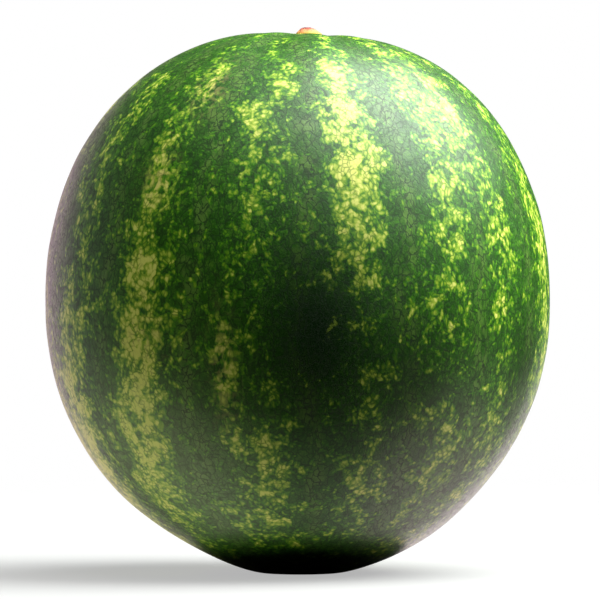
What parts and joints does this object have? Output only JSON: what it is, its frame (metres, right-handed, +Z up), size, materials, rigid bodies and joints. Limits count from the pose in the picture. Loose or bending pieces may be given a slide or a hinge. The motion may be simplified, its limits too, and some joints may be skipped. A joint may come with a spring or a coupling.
{
  "type": "watermelon",
  "caption": "Whole round striped watermelon with a short stem stub, standing upright on the small flat spot at its blossom end.",
  "frame": {"origin": "middle of the resting plane, under the centre of the fruit", "axes": "+Z up along the fruit towards its stem, -Y towards the front"},
  "size_m": [0.2494, 0.2506, 0.2694],
  "materials": {
    "rind": "satin, waxy",
    "stem": "matt, corky"
  },
  "bodies": {
    "root": {"fruit": "rind", "stem_stub": "stem"}
  },
  "joints": []
}
